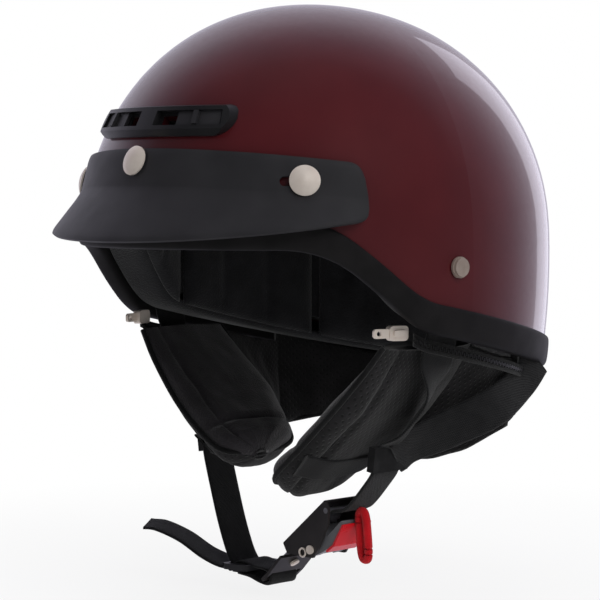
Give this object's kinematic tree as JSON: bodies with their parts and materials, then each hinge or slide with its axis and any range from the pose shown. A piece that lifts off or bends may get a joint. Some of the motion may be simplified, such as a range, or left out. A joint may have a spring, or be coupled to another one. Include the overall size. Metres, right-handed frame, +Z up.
{
  "type": "motorcycle helmet",
  "caption": "Half-shell motorcycle helmet with a removable peak, front vent, padded liner, zip-in ear flaps and neck curtain, and a ratchet chin strap.",
  "frame": {"origin": "middle of the wearer's head at the height of the brow rim", "axes": "+Z up, -Y the way the helmet faces, +X the wearer's left"},
  "size_m": [0.2322, 0.2899, 0.3079],
  "materials": {
    "shell_paint": "deep wine red clear-coated paint",
    "foam": "expanded foam",
    "liner_fabric": "brushed black knit",
    "flap_fabric": "perforated charcoal knit",
    "webbing": "woven black webbing",
    "rubber_trim": "matt black rubber",
    "satin_black": "satin black moulding",
    "zip_teeth": "black moulded teeth",
    "nickel": "satin nickel plate",
    "steel": "plain steel",
    "dark_steel": "black coated steel",
    "grey_plastic": "mid grey moulding",
    "red_plastic": "bright red moulding",
    "red_cord": "red woven cord"
  },
  "bodies": {
    "helmet": {"outer_shell": "shell_paint", "impact_liner": "foam", "crown_pad": "liner_fabric", "headband_pad": "liner_fabric", "liner_edge_cover": "liner_fabric", "edge_trim": "rubber_trim", "neck_curtain": "liner_fabric", "zipper_chain": "zip_teeth", "vent_housing": "satin_black", "snap_studs": "nickel", "shell_rivets": "nickel", "strap_anchors": "steel"},
    "peak": {"peak": "satin_black", "snap_caps": "nickel"},
    "vent_left": {"vent_shutter_left": "satin_black"},
    "vent_right": {"vent_shutter_right": "satin_black"},
    "zip_left": {"zipper_slider_left": "nickel"},
    "zip_right": {"zipper_slider_right": "nickel"},
    "flap_left": {"ear_flap_left": "flap_fabric", "flap_band_left": "webbing"},
    "flap_right": {"ear_flap_right": "flap_fabric", "flap_band_right": "webbing"},
    "chin_strap": {"front_strap_left": "webbing", "front_strap_right": "webbing", "rear_strap_left": "webbing", "rear_strap_right": "webbing", "strap_joint_left": "webbing", "strap_joint_right": "webbing", "strap_leg_left": "webbing", "strap_leg_right": "webbing", "buckle_housing": "dark_steel", "buckle_bar": "steel", "buckle_pivot": "nickel", "lever_spring": "steel", "spring_eye": "nickel"},
    "lever": {"release_lever": "grey_plastic", "lever_grip": "red_plastic"},
    "pull": {"pull_loop": "red_cord"},
    "tongue": {"ratchet_tongue": "steel", "tongue_plate": "dark_steel", "tongue_rivet": "nickel", "strap_loop": "webbing", "strap_adjuster": "satin_black", "strap_tail": "webbing"}
  },
  "joints": [
    {"name": "peak_pull", "type": "slide", "parent": "helmet", "child": "peak", "axis": [0, -1, 0], "range_m": [0, 0.06]},
    {"name": "vent_left_slide", "type": "hinge", "parent": "helmet", "child": "vent_left", "pos_m": [0, -0.0284, 0.066], "axis": [0, 0, -1], "range_deg": [0, 7.5]},
    {"name": "vent_right_slide", "type": "hinge", "parent": "helmet", "child": "vent_right", "pos_m": [0, -0.0284, 0.066], "axis": [0, 0, 1], "range_deg": [0, 7.5]},
    {"name": "zip_left_slide", "type": "slide", "parent": "helmet", "child": "zip_left", "axis": [0.2858, 0.9359, -0.2059], "range_m": [0, 0.006]},
    {"name": "zip_right_slide", "type": "slide", "parent": "helmet", "child": "zip_right", "axis": [-0.2858, 0.9359, -0.2059], "range_m": [0, 0.006]},
    {"name": "flap_left_fold", "type": "hinge", "parent": "helmet", "child": "flap_left", "pos_m": [0.09, 0, -0.042], "axis": [0, 1, 0], "range_deg": [0, 12]},
    {"name": "flap_right_fold", "type": "hinge", "parent": "helmet", "child": "flap_right", "pos_m": [-0.09, 0, -0.042], "axis": [0, -1, 0], "range_deg": [0, 12]},
    {"name": "chin_strap_swing", "type": "hinge", "parent": "helmet", "child": "chin_strap", "pos_m": [0, -0.02, -0.038], "axis": [1, 0, 0], "range_deg": [-15, 15], "deforming": ["front_strap_left", "front_strap_right", "rear_strap_left", "rear_strap_right"]},
    {"name": "lever_release", "type": "hinge", "parent": "chin_strap", "child": "lever", "pos_m": [0.02216, -0.02, -0.15396], "axis": [0, 1, 0], "range_deg": [0, 25], "stiffness_Nm_per_rad": 0.05, "springref_deg": -17.19},
    {"name": "pull_swing", "type": "hinge", "parent": "lever", "child": "pull", "pos_m": [0.0488, -0.02, -0.1335], "axis": [0, -1, 0], "range_deg": [0, 35]},
    {"name": "tongue_release", "type": "slide", "parent": "chin_strap", "child": "tongue", "axis": [-0.766, 0, -0.6428], "range_m": [0, 0.035], "deforming": ["strap_leg_right"]}
  ]
}
